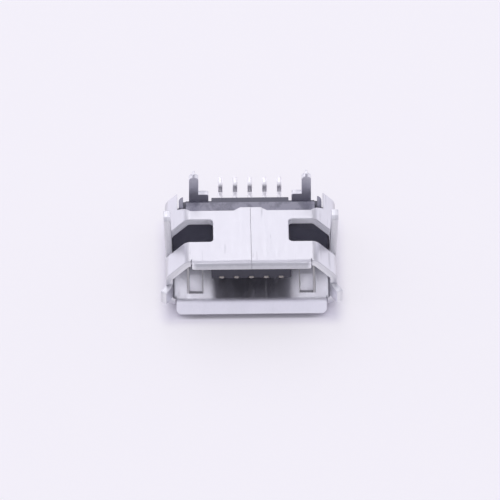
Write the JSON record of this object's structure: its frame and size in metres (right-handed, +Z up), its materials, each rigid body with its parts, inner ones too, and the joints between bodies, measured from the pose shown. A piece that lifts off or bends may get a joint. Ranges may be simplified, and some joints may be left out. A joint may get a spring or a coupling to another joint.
{
  "type": "micro usb socket",
  "caption": "Micro-B receptacle for a circuit board: folded steel shell with flared mouth, black housing with tongue, gull-wing contacts, and legs that solder into the board.",
  "frame": {"origin": "middle of the overall width and of the overall length, at the lowest edge of the lower lip of the mouth", "axes": "+X to the right across the mouth, +Y from the mouth back to the solder leads, +Z up towards the circuit board, out of the narrow wall"},
  "size_m": [0.008, 0.0064, 0.0039],
  "materials": {
    "plated_steel": "satin nickel or tin plating over sheet steel",
    "black_plastic": "moulded, slightly satin",
    "contact_metal": "tinned copper alloy, with a thin gold flash under the tongue"
  },
  "bodies": {
    "root": {"shell": "plated_steel", "housing": "black_plastic", "contact_1": "contact_metal", "contact_2": "contact_metal", "contact_3": "contact_metal", "contact_4": "contact_metal", "contact_5": "contact_metal"}
  },
  "joints": []
}
